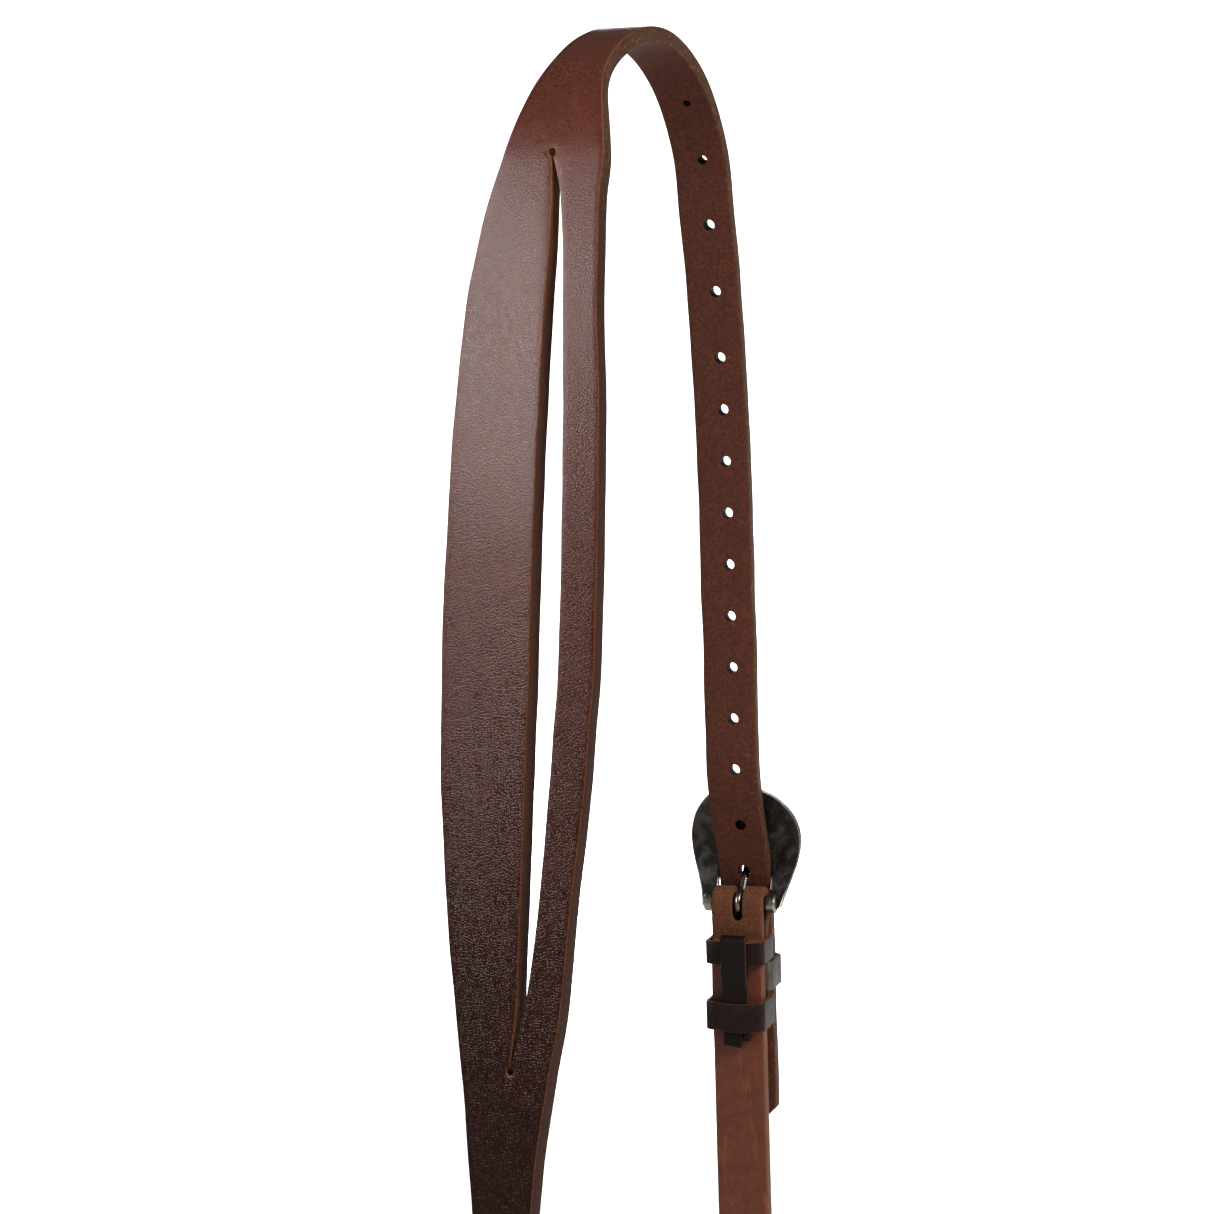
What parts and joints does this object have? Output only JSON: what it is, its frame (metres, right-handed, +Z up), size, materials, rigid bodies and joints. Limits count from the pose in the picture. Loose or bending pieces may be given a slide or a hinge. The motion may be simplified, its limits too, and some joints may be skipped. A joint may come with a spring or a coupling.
{
  "type": "slit-ear headstall",
  "caption": "Leather slit-ear headstall crown: wide ear band with a slit, punched billet, buckled doubled cheek with ties and a metal keeper, and bit loops.",
  "frame": {"origin": "middle of the strap's inner face where it crosses the poll", "axes": "+Z up, X along the straps' width, off side at -Y, near side with the buckle at +Y"},
  "size_m": [0.0496, 0.1957, 0.523],
  "materials": {
    "harness_leather": "oiled dark reddish brown harness leather, satin grain and dull flesh side",
    "tie_leather": "near-black brown satin latigo",
    "blackened_iron": "blackened, mottled patina",
    "bright_steel": "worn bright",
    "gunmetal_steel": "grey, satin",
    "antique_steel": "antique, satin"
  },
  "bodies": {
    "off_side": {"crown_off_side": "harness_leather", "off_post_upper": "antique_steel", "off_post_lower": "antique_steel", "off_screw_upper": "antique_steel", "off_screw_lower": "antique_steel"},
    "near_billet": {"crown_billet": "harness_leather", "buckle_frame": "blackened_iron", "buckle_bar": "bright_steel"},
    "cheek": {"near_cheek": "harness_leather", "billet_tip": "harness_leather", "upper_keeper": "tie_leather", "lower_keeper": "tie_leather", "keeper_lace": "tie_leather", "near_post_upper": "antique_steel", "near_post_lower": "antique_steel", "near_screw_upper": "antique_steel", "near_screw_lower": "antique_steel"},
    "tongue": {"buckle_tongue": "bright_steel"},
    "keeper": {"metal_keeper": "gunmetal_steel"}
  },
  "joints": [
    {"name": "crown_flex", "type": "hinge", "parent": "off_side", "child": "near_billet", "pos_m": [0, 0, 0.0023], "axis": [1, 0, 0], "range_deg": [-10, 25], "stiffness_Nm_per_rad": 0.5, "springref_deg": 6.33},
    {"name": "cheek_swing", "type": "hinge", "parent": "near_billet", "child": "cheek", "pos_m": [-0.00054, 0.07983, -0.25328], "axis": [0.9925, 0.1215, 0.0091], "range_deg": [-10, 10], "stiffness_Nm_per_rad": 0.2, "springref_deg": 0.68},
    {"name": "tongue_play", "type": "hinge", "parent": "near_billet", "child": "tongue", "pos_m": [-0.00054, 0.07983, -0.25328], "axis": [-0.9925, -0.1215, -0.0091], "range_deg": [0, 2.5]},
    {"name": "metal_keeper_slide", "type": "slide", "parent": "cheek", "child": "keeper", "axis": [0, 0.075, -0.9972], "range_m": [-0.0004, 0.0014]}
  ]
}
